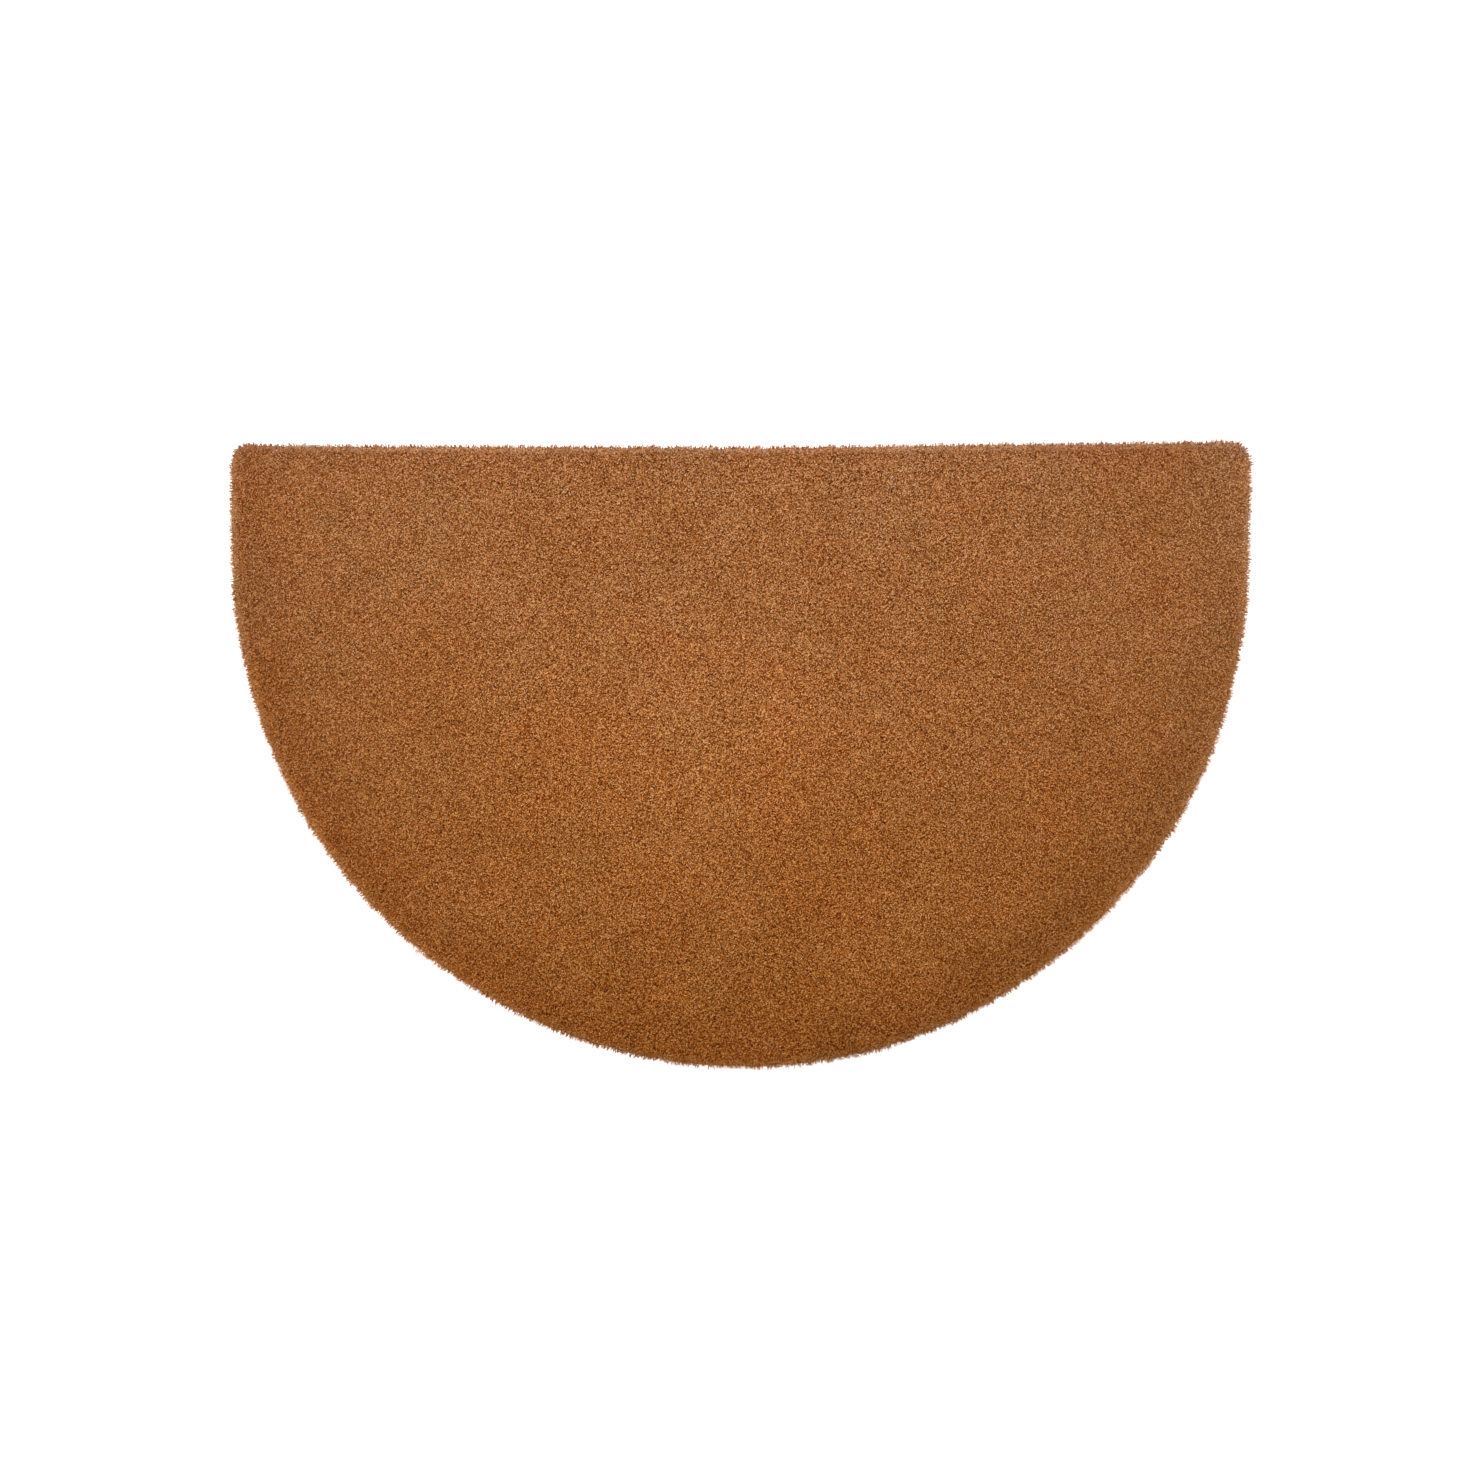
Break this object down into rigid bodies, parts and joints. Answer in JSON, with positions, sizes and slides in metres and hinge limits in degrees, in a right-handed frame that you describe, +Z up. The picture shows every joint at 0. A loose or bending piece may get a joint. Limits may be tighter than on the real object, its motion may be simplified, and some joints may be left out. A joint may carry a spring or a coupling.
{
  "type": "half round doormat",
  "caption": "Plain coir doormat with one straight edge and a half round front, lying flat with its short pile up.",
  "frame": {"origin": "on the floor, under the middle of the mat's box", "axes": "+X along the straight edge, +Y from the rounded front towards the straight edge, +Z up out of the pile"},
  "size_m": [0.7508, 0.4604, 0.015],
  "materials": {
    "coir": "undyed brown coconut fibre, short dense upright pile, dry and matte"
  },
  "bodies": {
    "root": {"coir_mat": "coir"}
  },
  "joints": []
}
